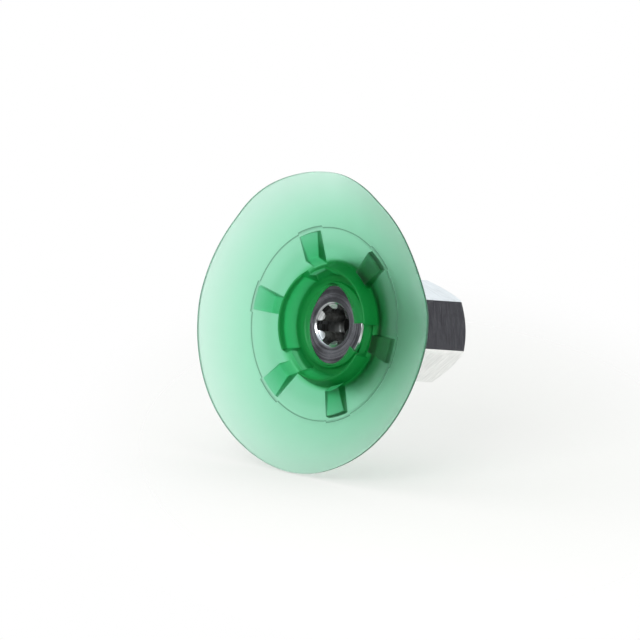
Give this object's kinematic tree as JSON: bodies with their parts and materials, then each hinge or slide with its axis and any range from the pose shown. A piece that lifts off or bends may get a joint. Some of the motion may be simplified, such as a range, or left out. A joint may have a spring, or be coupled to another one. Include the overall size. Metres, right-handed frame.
{
  "type": "flat vacuum cup",
  "caption": "Flat round elastomer vacuum cup with a ribbed suction side and a notched hub ring, snapped onto a hexagonal metal nipple with a female pipe thread.",
  "frame": {"origin": "on the axis of the cup, where the full wall of the nipple's female thread begins, 0.6 mm inside its end face", "axes": "+Y along the axis, out of the thread and away from the suction side; the suction side faces -Y; +X and +Z span the plane of the lip's rim, with the first support rib at 46 degrees from +X towards +Z"},
  "size_m": [0.05, 0.0308, 0.05],
  "materials": {
    "elastomer": "satin, translucent green polyurethane",
    "aluminium": "turned and brushed"
  },
  "bodies": {
    "nipple": {"nipple": "aluminium"},
    "cup": {"cup_hub": "elastomer"},
    "lip": {"sealing_lip": "elastomer"}
  },
  "joints": [
    {"name": "cup_turn", "type": "hinge", "parent": "nipple", "child": "cup", "pos_m": [0, 0, 0], "axis": [0, 1, 0], "continuous": true},
    {"name": "lip_stroke", "type": "slide", "parent": "cup", "child": "lip", "axis": [0, 1, 0], "range_m": [0, 0.0022], "stiffness_N_per_m": 1200}
  ]
}
